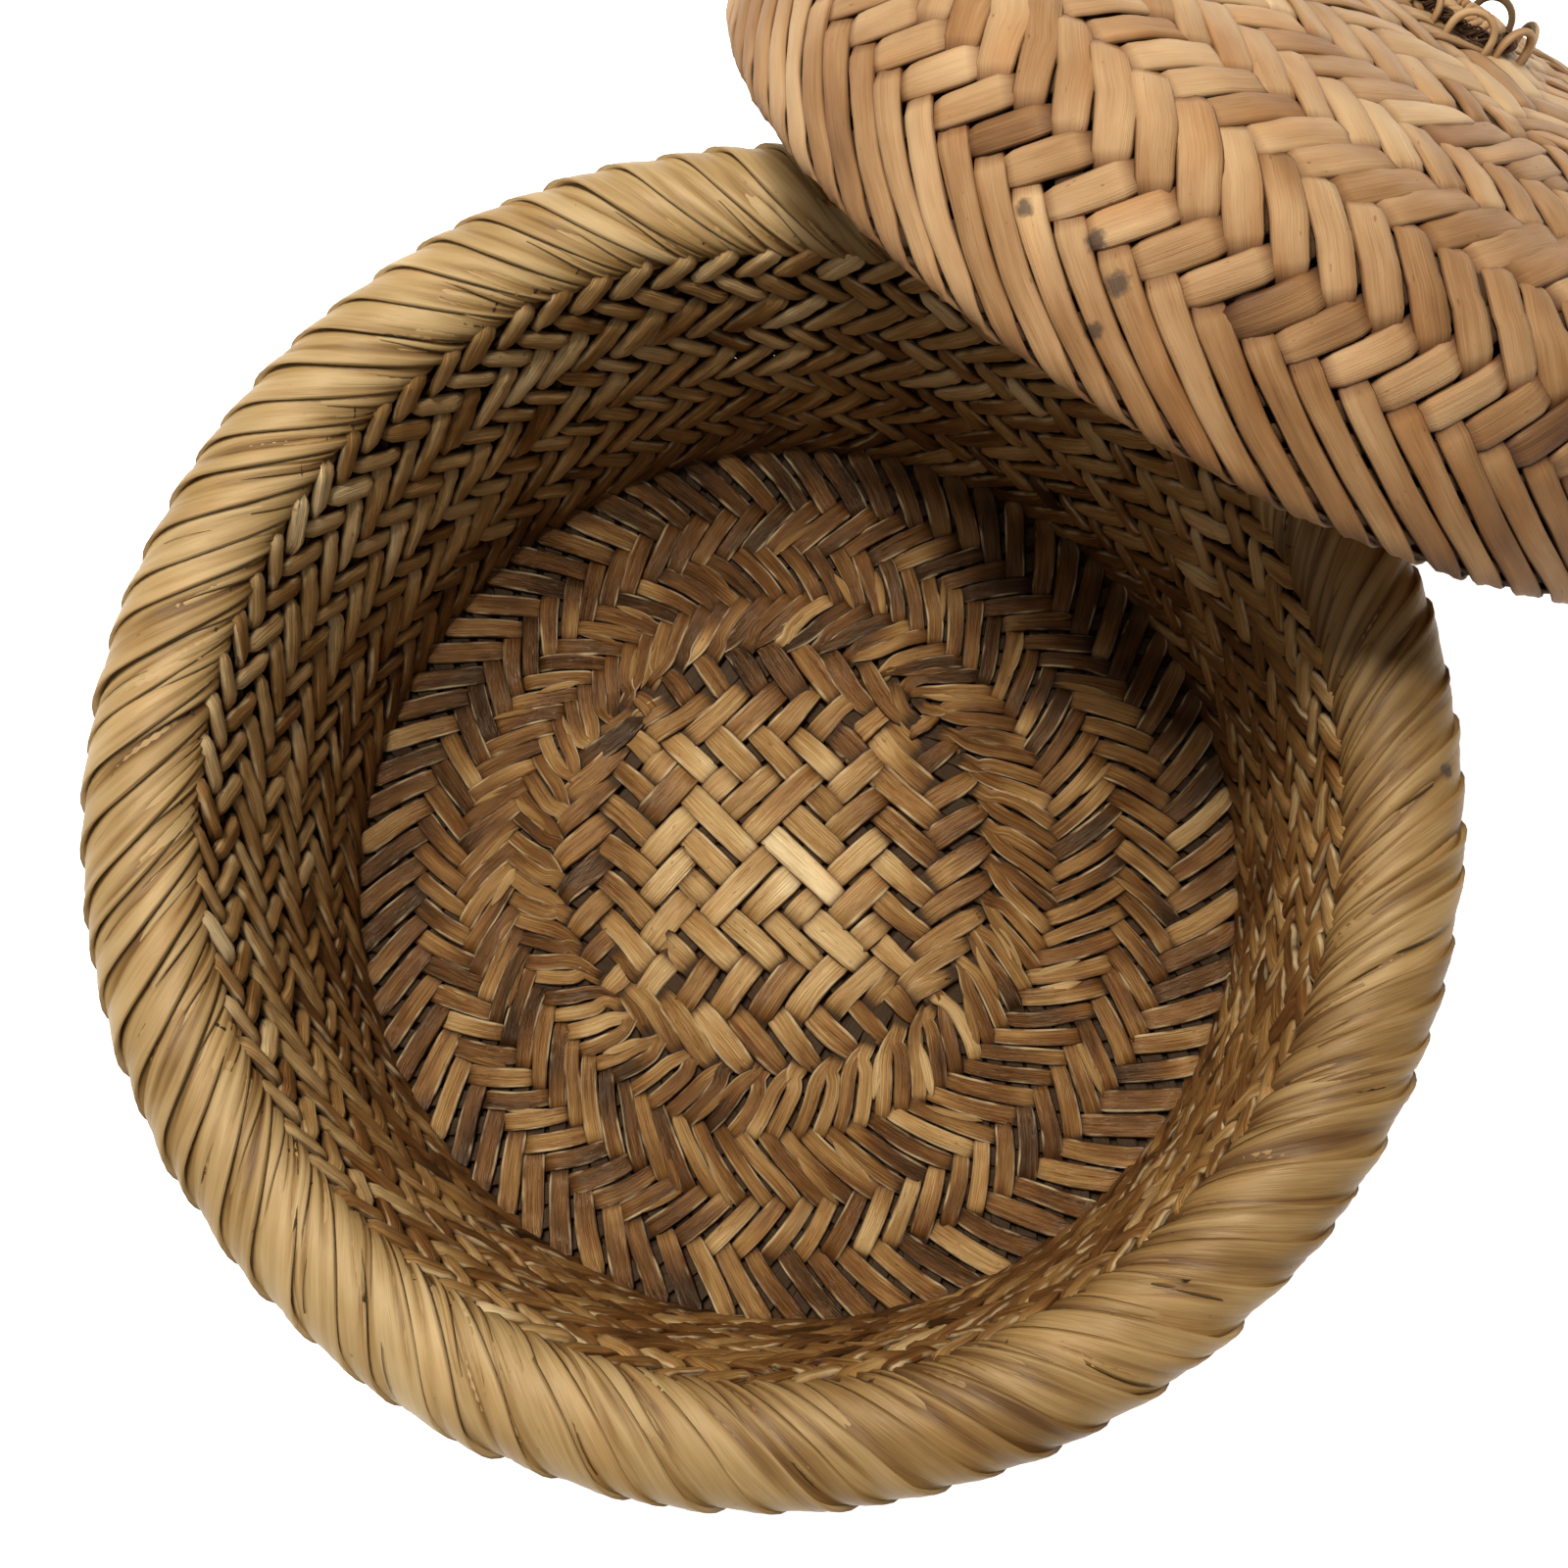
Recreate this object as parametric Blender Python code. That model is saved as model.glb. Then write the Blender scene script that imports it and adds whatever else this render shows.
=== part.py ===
"""Double-woven lidded basket: an open round bowl, with its domed lid standing on edge behind it.

Metres, +Z up. The origin is the centre of the bowl's underside, and the lid leans away along +Y.
Each woven skin, border, hoop and knob loop is one closed solid.
"""
import math

import bmesh
import bpy
from mathutils import Matrix, Vector

# Bowl
BASE_R = 0.0870          # outside of the flat base
BOWL_R = 0.1050          # outside of the rolled rim
FOOT_IN = 0.0006         # the wall's foot is turned in a little
CREASE_R = 0.0905        # where the wall turns out into the rim
CREASE_Z = 0.0840
FLOOR_Z = 0.0050         # top of the inner floor
SKIN = 0.0020            # thickness of one woven skin
GAP = 0.0004             # clearance between two skins
PANEL_SIDE = 0.0840      # square centre panel of each flat mat
PANEL_RISE = 0.0004
HOOP_R = 0.0034          # cane inside the rim
HOOP_CENTRE = (0.0985, 0.0802)
ROLL = [                 # the border's outline: share of the way out from the crease, and rise
    (0.01, 0.0), (0.11, 0.0016), (0.28, 0.0028), (0.49, 0.0033), (0.70, 0.0027), (0.88, 0.0009),
    (0.98, -0.0017), (1.0, -0.0045), (0.93, -0.0071), (0.78, -0.0088), (0.60, -0.0095),
    (0.46, -0.0093)]
# Lid, in its own frame: rim plane at z = 0, dome towards +z
LID_R = 0.0940
LID_SHOULDER_R = 0.0850
LID_SKIRT_H = 0.0270
LID_H = 0.0450
LID_HOOP_R = 0.0011
LID_EDGE = [             # the turned-over border's outline: distance in from LID_R, and height
    (0.0, 0.0056), (-0.0001, 0.0018), (0.0010, 0.0), (0.0058, 0.0), (0.0070, 0.0018),
    (0.0076, 0.0056), (0.0066, 0.0056), (0.0060, 0.0018), (0.0054, 0.0007), (0.0014, 0.0007),
    (0.0008, 0.0018), (0.0009, 0.0056)]
LID_TILT = math.radians(47.5)
LID_CENTRE_X = 0.0065
LID_CENTRE_Y = 0.1225
# Knob
KNOB_X = 0.0105          # the knob's centre is off the lid's axis
KNOB_Y = 0.0105
LOOPS = 7
LOOP_RING_R = 0.0100
LOOP_W = 0.0084
LOOP_H = 0.0052
LOOP_STRAND_R = 0.0006
COIL_R = 0.0048
COIL_STRAND_R = 0.0014
LASHING_R = 0.0076
LASHING_STRAND_R = 0.0008
# Resolution
TURN = 56

COLOURS = {
    "inner_cane": (0.42, 0.29, 0.13),
    "outer_cane": (0.46, 0.31, 0.14),
    "rim_cane": (0.66, 0.53, 0.31),
    "hoop_cane": (0.38, 0.25, 0.12),
    "lid_cane": (0.60, 0.36, 0.15),
    "dark_fibre": (0.13, 0.08, 0.045),
}


def clear():
    for item in list(bpy.data.objects):
        bpy.data.objects.remove(item, do_unlink=True)
    for block in (bpy.data.meshes, bpy.data.materials, bpy.data.collections):
        for item in list(block):
            block.remove(item)


def material(name):
    found = bpy.data.materials.get(name)
    if found:
        return found
    made = bpy.data.materials.new(name)
    made.use_nodes = True
    shader = made.node_tree.nodes["Principled BSDF"]
    shader.inputs["Base Color"].default_value = (*COLOURS[name.split("__")[1]], 1.0)
    shader.inputs["Roughness"].default_value = 0.55
    made.diffuse_color = (*COLOURS[name.split("__")[1]], 1.0)
    return made


def add(name, colour, verts, faces, place=None):
    """One closed solid, its faces turned outward."""
    mesh = bpy.data.meshes.new(name)
    mesh.from_pydata([tuple(v) for v in verts], [], faces)
    work = bmesh.new()
    work.from_mesh(mesh)
    bmesh.ops.recalc_face_normals(work, faces=work.faces)
    if work.calc_volume(signed=True) < 0:
        bmesh.ops.reverse_faces(work, faces=work.faces)
    if place is not None:
        bmesh.ops.transform(work, matrix=place, verts=work.verts)
    work.to_mesh(mesh)
    work.free()
    mesh.materials.append(material(name + "__" + colour))
    obj = bpy.data.objects.new(name, mesh)
    bpy.data.collections["basket"].objects.link(obj)
    return obj


def turned(name, colour, profile, place=None, steps=TURN):
    """Turn a closed (r, z) outline about the Z axis. Points on the axis are shared."""
    verts, rows = [], []
    for r, z in profile:
        if r < 1e-9:
            rows.append([len(verts)] * steps)
            verts.append((0.0, 0.0, z))
            continue
        rows.append(list(range(len(verts), len(verts) + steps)))
        for k in range(steps):
            a = 2 * math.pi * k / steps
            verts.append((r * math.cos(a), r * math.sin(a), z))
    faces = []
    for i, row in enumerate(rows):
        after = rows[(i + 1) % len(rows)]
        if row[0] == row[1] and after[0] == after[1]:
            continue
        for k in range(steps):
            n = (k + 1) % steps
            quad = [row[k], row[n], after[n], after[k]]
            faces.append([v for j, v in enumerate(quad) if v != quad[j - 1]])
    return add(name, colour, verts, faces, place)


def skin(line, thick):
    """A closed outline from an open line of (r, z) points and the same line moved to its left."""
    moved = []
    for i, (r, z) in enumerate(line):
        before, after = line[max(i - 1, 0)], line[min(i + 1, len(line) - 1)]
        way = Vector((after[0] - before[0], after[1] - before[1])).normalized()
        moved.append((max(r - way.y * thick, 0.0) if r > 0 else 0.0, z + way.x * thick))
    return line + moved[::-1]


def tube(name, colour, path, radius, place=None, sides=6):
    """A round strand along an open path that lies in a plane, with flat ends."""
    verts, faces = [], []
    flat = (path[1] - path[0]).cross(path[-1] - path[len(path) // 2]).normalized()
    for i, point in enumerate(path):
        way = (path[min(i + 1, len(path) - 1)] - path[max(i - 1, 0)]).normalized()
        side = way.cross(flat)
        for k in range(sides):
            a = 2 * math.pi * k / sides
            verts.append(point + radius * (math.cos(a) * side + math.sin(a) * flat))
    for i in range(len(path) - 1):
        for k in range(sides):
            n = (k + 1) % sides
            faces.append([i * sides + k, i * sides + n, (i + 1) * sides + n, (i + 1) * sides + k])
    faces.append(list(range(sides))[::-1])
    faces.append([(len(path) - 1) * sides + k for k in range(sides)])
    return add(name, colour, verts, faces, place)


def torus(name, colour, centre, radius, place=None, sides=8, steps=TURN):
    outline = [(centre[0] + radius * math.cos(2 * math.pi * k / sides),
                centre[1] + radius * math.sin(2 * math.pi * k / sides)) for k in range(sides)]
    return turned(name, colour, outline, place, steps)


def mat(name, colour, radius, z_low, z_high, panel_up):
    """A flat round mat with a slightly proud square panel in its middle."""
    half, rise = PANEL_SIDE / 2, PANEL_RISE if panel_up else -PANEL_RISE
    level = z_high if panel_up else z_low
    other = z_low if panel_up else z_high
    verts, count = [], 48
    for k in range(count):
        a = 2 * math.pi * (k + 0.5) / count
        x, y = math.cos(a), math.sin(a)
        square = half / max(abs(x), abs(y))
        verts += [(square * x, square * y, level + rise), (1.03 * square * x, 1.03 * square * y, level),
                  (radius * x, radius * y, level), (radius * x, radius * y, other)]
    top, bottom = len(verts), len(verts) + 1
    verts += [(0, 0, level + rise), (0, 0, other)]
    faces = []
    for k in range(count):
        a, b = 4 * k, 4 * ((k + 1) % count)
        faces.append([top, a, b])
        for j in range(3):
            faces.append([a + j, a + j + 1, b + j + 1, b + j])
        faces.append([bottom, b + 3, a + 3])
    return add(name, colour, verts, faces)


def bowl():
    base_r = BASE_R - FOOT_IN - SKIN - GAP
    mat("bowl_outer_base", "outer_cane", base_r, PANEL_RISE, PANEL_RISE + SKIN, False)
    mat("bowl_inner_floor", "inner_cane", base_r - SKIN - GAP, FLOOR_Z - SKIN, FLOOR_Z, True)
    # The two wall skins rise side by side, nearly upright at first and flaring towards the rim.
    lean = [(0.0, 0.0), (0.2, 0.10), (0.4, 0.22), (0.6, 0.38), (0.8, 0.62), (0.92, 0.83), (1.0, 1.0)]
    inner_low = FLOOR_Z - SKIN
    inner = [(base_r + (CREASE_R + SKIN - base_r) * out,
              inner_low + (CREASE_Z - 0.0020 - inner_low) * up) for up, out in lean]
    turned("bowl_inner_wall", "inner_cane", skin(inner, SKIN))
    top_r, top_z = CREASE_R + 2 * SKIN + 0.0006, 0.0738
    outer = [(BASE_R + (top_r - BASE_R) * out, top_z * up) for up, out in lean]
    outer[0] = (BASE_R - FOOT_IN, 0.0)
    turned("bowl_outer_wall", "outer_cane", skin(outer, SKIN))
    torus("bowl_rim_hoop", "hoop_cane", HOOP_CENTRE, HOOP_R)
    # The border is a roll, open underneath, that reaches from the crease over the hoop.
    across = BOWL_R - CREASE_R
    roll = [(CREASE_R + across * out, CREASE_Z - 0.0004 + up) for out, up in ROLL]
    turned("bowl_rim_border", "rim_cane", skin(roll, -0.0019))


def dome(shoulder_r, shoulder_z, rise, steps):
    """From just inside the shoulder up to the axis."""
    points = []
    for k in range(steps + 1):
        a = math.pi / 2 * k / steps
        points.append((shoulder_r * math.cos(a), shoulder_z + rise * math.sin(a)))
    points[-1] = (0.0, shoulder_z + rise)
    return points


def lid():
    place = lid_place()
    low = 0.0036
    skirt = [(LID_R - 0.0012, low), (LID_R - 0.0026, 0.010), (LID_R - 0.0052, 0.019),
             (LID_SHOULDER_R, LID_SKIRT_H)]
    turned("lid_outer_skirt", "lid_cane", skin(skirt, SKIN), place)
    inside = [(r - SKIN - GAP, z) for r, z in skirt[:3]]
    inside.append((LID_SHOULDER_R - SKIN - GAP, LID_SKIRT_H - 0.0012))
    turned("lid_inner_skirt", "inner_cane", skin(inside, SKIN - 0.0002), place)
    foot = LID_SKIRT_H + 0.0003
    rise = LID_H - SKIN - foot
    over = dome(LID_SHOULDER_R - 0.0030, foot, rise, 6)
    turned("lid_outer_crown", "lid_cane", skin(over, -SKIN), place)
    under = dome(LID_SHOULDER_R - 0.0064, foot - 0.0024, rise, 6)
    turned("lid_inner_crown", "inner_cane", skin(under, -SKIN + 0.0002), place)
    torus("lid_rim_hoop", "hoop_cane", (LID_R - 0.0033, 0.0021), LID_HOOP_R, place, sides=6)
    edge = [(LID_R - out, up) for out, up in LID_EDGE]
    turned("lid_rim_border", "lid_cane", edge, place)


def lid_place():
    """The lid stands on its edge: its lowest rim point is on the table."""
    turn = Matrix.Rotation(-LID_TILT, 4, "X")
    height = (LID_R - 0.0010) * math.sin(LID_TILT)
    return Matrix.Translation((LID_CENTRE_X, LID_CENTRE_Y, height)) @ turn


def knob():
    place = lid_place() @ Matrix.Translation((KNOB_X, KNOB_Y, 0))
    crown = LID_H + 0.0004
    torus("knob_base_coil", "lid_cane", (COIL_R, crown + COIL_STRAND_R), COIL_STRAND_R, place, 6, 30)
    torus("knob_lashing", "dark_fibre", (LASHING_R, crown + LASHING_STRAND_R), LASHING_STRAND_R,
          place, 6, 30)
    for k in range(LOOPS):
        a = 2 * math.pi * (k + 0.5) / LOOPS
        out, along = Vector((math.cos(a), math.sin(a), 0)), Vector((-math.sin(a), math.cos(a), 0))
        path = []
        for j in range(9):
            b = math.pi * j / 8
            high = max(math.sin(b), 0.0) ** 0.8 * (LOOP_H - 2 * LOOP_STRAND_R)
            path.append(out * LOOP_RING_R + along * (LOOP_W / 2 - LOOP_STRAND_R) * math.cos(b)
                        + Vector((0, 0, crown + high)))
        tube("knob_loop_%02d" % (k + 1), "lid_cane", path, LOOP_STRAND_R, place)


clear()
bpy.context.scene.collection.children.link(bpy.data.collections.new("basket"))
bowl()
lid()
knob()
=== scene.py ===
"""Looks for the lidded wicker basket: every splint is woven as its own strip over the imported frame."""
import math

import bpy
import numpy as np
from mathutils import Matrix, Vector


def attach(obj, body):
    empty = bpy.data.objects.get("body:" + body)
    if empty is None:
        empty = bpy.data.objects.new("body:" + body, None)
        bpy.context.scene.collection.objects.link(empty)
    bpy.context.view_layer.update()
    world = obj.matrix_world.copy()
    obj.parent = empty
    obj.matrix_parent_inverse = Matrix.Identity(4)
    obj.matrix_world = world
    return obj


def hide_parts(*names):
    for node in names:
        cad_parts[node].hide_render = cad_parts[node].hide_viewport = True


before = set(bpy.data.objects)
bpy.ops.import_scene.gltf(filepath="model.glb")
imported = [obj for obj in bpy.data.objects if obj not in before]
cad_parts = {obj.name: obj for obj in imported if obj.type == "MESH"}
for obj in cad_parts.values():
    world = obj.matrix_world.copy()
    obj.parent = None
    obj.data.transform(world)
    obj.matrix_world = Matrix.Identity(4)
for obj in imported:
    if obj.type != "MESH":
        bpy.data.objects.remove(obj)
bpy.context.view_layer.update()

MM = 0.001
SEED = 7

# The weave. Rows are numbered outward from the middle of a mat; a strip's number is a half-integer.
MAT_ROWS = 20            # rows in the lid's flat mat
FLOOR_ROWS = 23          # rows in the bowl's floor
SPLIT_ROW = 10           # in the bowl, each strip is split into two narrower ones here
STRIPS = 80              # strips each way in a wall
CW, CCW, NONE = -1, 1, 0  # which way a strip turns as it goes outward
VIEW_TURN = math.radians(36.0)      # the mats are square to the camera's frame, not to the table's
PANEL_STEP = 4.03 * MM   # from one row to the next in the square centre panel
PANEL_SHIFT = (-6.7 * MM, 5.0 * MM)  # the panel's middle is off the bowl's axis
RIM_SHIFT = (-1.3 * MM, 2.0 * MM)    # the hand-made rim isn't quite over the base
CREASE_Z = 84.0 * MM     # height of the crease where the wall turns out into the rim
TABLE_STEPS = 10         # entries per row in a surface's table
# The share of the way up a bowl's wall, and the share of its lean there
LEAN = [(0.2, 0.10), (0.4, 0.22), (0.6, 0.38), (0.8, 0.62), (0.92, 0.83), (1.0, 1.0)]

# The rim's roll, in section
ROLL_CENTRE, ROLL_WIDE, ROLL_HIGH = (97.4 * MM, 79.6 * MM), 8.4 * MM, 6.6 * MM
ROLL_START, ROLL_TURN = 183.0, 281.0  # a leaf's first angle in it and how far it goes, in degrees
LEAF_SWEEP = 18.0        # how far a leaf goes round the bowl as it rolls over, in degrees
LEAF_STEPS = 30

# The lid, as part.py places it
LID_TILT = math.radians(47.5)
LID_TURN = math.radians(6.0)         # the lid's mat is nearly square to its own axes
LID_CENTRE = Vector((6.5 * MM, 122.5 * MM, 93.0 * MM * math.sin(LID_TILT)))

# The knob, as part.py places it
KNOB_AT = (10.5 * MM, 10.5 * MM, 0)
KNOB_BASE = 45.1 * MM
LOOPS, LOOP_RING_R = 7, 10.0 * MM


def smooth(x):
    x = np.clip(x, 0.0, 1.0)
    return x * x * (3 - 2 * x)


def toward(path, azimuth):
    """From -1 to 1, how far points lie towards a picture azimuth in degrees, seen from the bowl's axis."""
    a = math.radians(azimuth) + VIEW_TURN
    flat = path[:, :2] / (np.linalg.norm(path[:, :2], axis=1)[:, None] + 1e-9)
    return flat @ np.array([math.cos(a), math.sin(a)])


def bands(*runs):
    """Which way the strips on top turn, for each row, from runs of (rows, way)."""
    ways = [runs[0][1]]
    for count, way in runs:
        ways += [way] * count
    return np.array(ways)


MAT_BANDS = [(3, CW), (2, CCW), (2, CW), (2, CCW), (4, CW), (4, CCW), (3, CW), (3, CCW)]
WALL_BANDS = [(3, CW), (2, CCW)] * 4 + [(2, CW)]
BOWL_BANDS = bands(*MAT_BANDS, *WALL_BANDS, (4, NONE))
LID_BANDS = bands((3, CCW), (3, CW), (3, CCW), (3, CW), (3, CCW), (3, CW), (3, CCW), (2, CW), (12, CCW))


def drift(rng, t, step, size):
    """Smooth random wander along t, with a new value every step."""
    low = np.floor(t / step).astype(int)
    values = rng.normal(0, size, low.max() - low.min() + 2)
    share = smooth(t / step - low)
    low = low - low.min()
    return values[low] * (1 - share) + values[low + 1] * share


class Surface:
    """A mat that turns into a wall: a curve of (row, r, z) in millimetres, turned about Z."""

    def __init__(self, knots, shift=(0.0, 0.0), side=1, lean=(0.0, 0.0), hurry=(99, 0.0), turn=VIEW_TURN,
                 square_rows=MAT_ROWS, mat_rows=MAT_ROWS):
        rows, r, z = (np.array(c, float) for c in zip(*knots))
        self.rows = np.arange(0.0, rows[-1] + 0.05, 1 / TABLE_STEPS)
        kernel = np.hanning(11)[1:-1]
        kernel /= kernel.sum()
        pad = len(kernel) // 2

        def soften(values):
            line = np.interp(self.rows, rows, values) * MM
            before = 2 * line[0] - line[pad:0:-1]
            after = 2 * line[-1] - line[-2:-pad - 2:-1]
            return np.convolve(np.concatenate([before, line, after]), kernel, "valid")

        self.r, self.z = soften(r), soften(z)
        self.r[0] = 0.0
        dr, dz = np.gradient(self.r), np.gradient(self.z)
        length = np.hypot(dr, dz)
        self.nr, self.nz = -dz / length * side, dr / length * side
        self.shift, self.lean, self.hurry, self.turn = shift, lean, hurry, turn
        self.square_rows, self.mat_rows = square_rows, mat_rows

    def track(self, family, number, last_row, steps, child=0):
        """A strip's path: lattice steps, rows, points and front normals.

        Family 0 keeps its column and family 1 keeps its line, both by number. In the square rows each
        ring adds crossings to the last, and past them there are STRIPS each way. Where they are fewer
        than the mat's rows, the strip splits there: a child (-1 or 1) is its second half, at one end.
        """
        reach = last_row - abs(number)
        if child:
            first = max(self.square_rows - 0.6 - abs(number), 0.02)
            t = child * np.linspace(first, reach, int(round((reach - first) * steps)) + 1)
        else:
            t = np.linspace(-reach, reach, int(round(2 * reach * steps)) + 1)
        rows = np.abs(t) + abs(number)
        way = np.sign(t + 1e-9) * np.sign(number) * (-1 if family == 0 else 1)
        held = np.clip(t, abs(number) - self.square_rows, self.square_rows - abs(number))
        fixed = np.full_like(t, number)
        i, j = (held, fixed) if family == 0 else (fixed, held)
        x, y = i - j, i + j
        ring = np.maximum(np.abs(x), np.abs(y))
        # The angle runs evenly round each square ring
        angle = np.where(y >= np.abs(x), 90 - 45 * x / ring,
                         np.where(x >= np.abs(y), 45 * y / ring,
                                  np.where(-x >= np.abs(y), 180 - 45 * y / ring, 270 + 45 * x / ring)))
        past = np.maximum(rows - self.square_rows, 0)
        turned = past + np.where(way > 0, np.maximum(rows - self.hurry[0], 0) * self.hurry[1], 0)
        if self.square_rows < self.mat_rows:
            turned = turned + way * (-1 if child else 1) * smooth((rows - self.square_rows + 0.8) / 1.8)
        angle = np.radians(angle) + way * turned * math.pi / STRIPS
        r = np.interp(rows, self.rows, self.r)
        square = 1 - smooth((ring - 5) / 4.5)
        px = square * PANEL_STEP * x + (1 - square) * r * np.cos(angle)
        py = square * PANEL_STEP * y + (1 - square) * r * np.sin(angle)
        off = 1 - smooth(rows / self.mat_rows)
        px, py = px + off * self.shift[0], py + off * self.shift[1]
        flat = np.hypot(px, py)
        mat = slice(0, self.mat_rows * TABLE_STEPS)
        level = np.where(rows < self.mat_rows, np.interp(flat, self.r[mat], self.rows[mat]), rows)
        nr, nz = np.interp(level, self.rows, self.nr), np.interp(level, self.rows, self.nz)
        z = np.interp(level, self.rows, self.z)
        out = np.arctan2(py, px) + self.turn
        up = np.clip(z / CREASE_Z, 0, 1)
        px, py = px + up * self.lean[0], py + up * self.lean[1]
        c, s = math.cos(self.turn), math.sin(self.turn)
        points = np.stack([px * c - py * s, px * s + py * c, z], 1)
        normals = np.stack([nr * np.cos(out), nr * np.sin(out), nz], 1)
        return t, rows, points, normals


def over_under(t, number, flip, top):
    """Over (+1) or under (-1) along a strip: it changes between crossings and domes over a float."""
    low = np.floor(t - 0.5) + 0.5
    share = smooth((t - low - 0.14) / 0.72)

    def state(at):
        row = np.clip(np.round(np.abs(at) + abs(number)).astype(int), 0, len(top) - 1)
        return np.where(top[row] == np.sign(at) * np.sign(number) * flip, 1.0, -1.0)

    level = (1 - share) * state(low) + share * state(low + 1)
    wide = (state(low - 1) * (1 - share) + state(low) + state(low + 1) + state(low + 2) * share) / 3
    return 0.62 * level + 0.38 * np.clip(wide, -1, 1)


class Bundle:
    """Strips gathered into one mesh, with their grain and their tone, painted shade included, kept as
    attributes.
    """

    def __init__(self):
        self.points, self.faces, self.grain, self.tone = [], [], [], []
        self.sizes, self.count = [], 0

    def add(self, path, normal, half, thick, section, seed, tone, hollow_shade, roll=0.0, shift=0.0, back=-0.3):
        """Sweep section (n or 1, m, 2: across and up) along path (n, 3), rolled and shifted sideways.

        What lies below back in the section is the strip's back, which the material paints near-black as
        painted shade.
        """
        n, m = len(path), section.shape[1]
        along = np.gradient(path, axis=0)
        along /= np.linalg.norm(along, axis=1)[:, None] + 1e-12
        side = np.cross(normal, along)
        side /= np.linalg.norm(side, axis=1)[:, None] + 1e-12
        up = np.cross(along, side)
        path = path + side * np.reshape(shift, (-1, 1))
        c, s = np.cos(roll) * np.ones(n), np.sin(roll) * np.ones(n)
        side, up = side * c[:, None] + up * s[:, None], up * c[:, None] - side * s[:, None]
        v, h = section[..., 0], section[..., 1]
        mesh = (path[:, None] + side[:, None] * (half[:, None] * v)[..., None]
                + up[:, None] * (thick[:, None] * h)[..., None])
        self.points.append(mesh.reshape(-1, 3))
        run = np.concatenate([[0], np.cumsum(np.linalg.norm(np.diff(path, axis=0), axis=1))])
        whole = np.ones((n, m))
        grain = np.stack([run[:, None] * whole, v * whole, seed * whole], -1)
        shade = np.stack([np.reshape(tone, (n, -1)) * whole, np.reshape(hollow_shade, (n, -1)) * whole,
                          (h < back) * whole], -1)
        self.grain.append(grain.reshape(-1, 3))
        self.tone.append(shade.reshape(-1, 3))
        ring = np.arange(m)
        a = np.arange(n - 1)[:, None] * m + ring[None]
        b = np.arange(n - 1)[:, None] * m + (ring[None] + 1) % m
        quads = np.stack([a, b, b + m, a + m], -1).reshape(-1, 4) + self.count
        self.faces.append(quads.ravel())
        self.sizes.append(np.full(len(quads), 4))
        for cap in (ring[::-1], ring + (n - 1) * m):
            self.faces.append(cap + self.count)
            self.sizes.append(np.array([m]))
        self.count += n * m

    def build(self, name, material, body, nodes, place=None):
        mesh = bpy.data.meshes.new(name)
        points = np.concatenate(self.points)
        loops, sizes = np.concatenate(self.faces), np.concatenate(self.sizes)
        mesh.vertices.add(len(points))
        mesh.vertices.foreach_set("co", points.ravel())
        mesh.loops.add(len(loops))
        mesh.loops.foreach_set("vertex_index", loops)
        mesh.polygons.add(len(sizes))
        mesh.polygons.foreach_set("loop_start", np.concatenate([[0], np.cumsum(sizes)[:-1]]))
        mesh.polygons.foreach_set("use_smooth", sizes == 4)
        for label, data in (("grain", self.grain), ("tone", self.tone)):
            layer = mesh.attributes.new(label, "FLOAT_VECTOR", "POINT")
            layer.data.foreach_set("vector", np.concatenate(data).astype(np.float32).ravel())
        mesh.update(calc_edges=True)
        if place is not None:
            mesh.transform(place)
        mesh.materials.append(material)
        piece = bpy.data.objects.new(name, mesh)
        bpy.context.scene.collection.objects.link(piece)
        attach(piece, body)
        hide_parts(*nodes)
        return piece


TOP = np.array([-1.0, -0.86, -0.45, 0.0, 0.45, 0.86, 1.0])
FLAT = np.array([0.0, 0.47, 0.45, 0.42, 0.45, 0.47, 0.0])
PLUMP = np.array([0.0, 0.25, 0.44, 0.5, 0.44, 0.25, 0.0])


def strip_section(rng, t, plump, ridges):
    """A strip's outline along t: between a flat ribbon and a plump cane, with wandering ridges."""
    plump = np.reshape(plump * np.ones(len(t)), (-1, 1))
    h = FLAT[None] * (1 - plump) + PLUMP[None] * plump
    for k in range(1, 6):
        h[:, k] += drift(rng, t, 4.0, 1.0) * ridges
    v = np.repeat(TOP[None], len(t), 0)
    back = np.array([[0.6, -0.45], [-0.6, -0.45]])
    top = np.stack([v, h], -1)
    return np.concatenate([top, np.repeat(back[None], len(t), 0)], 1)[:, ::-1]


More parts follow.
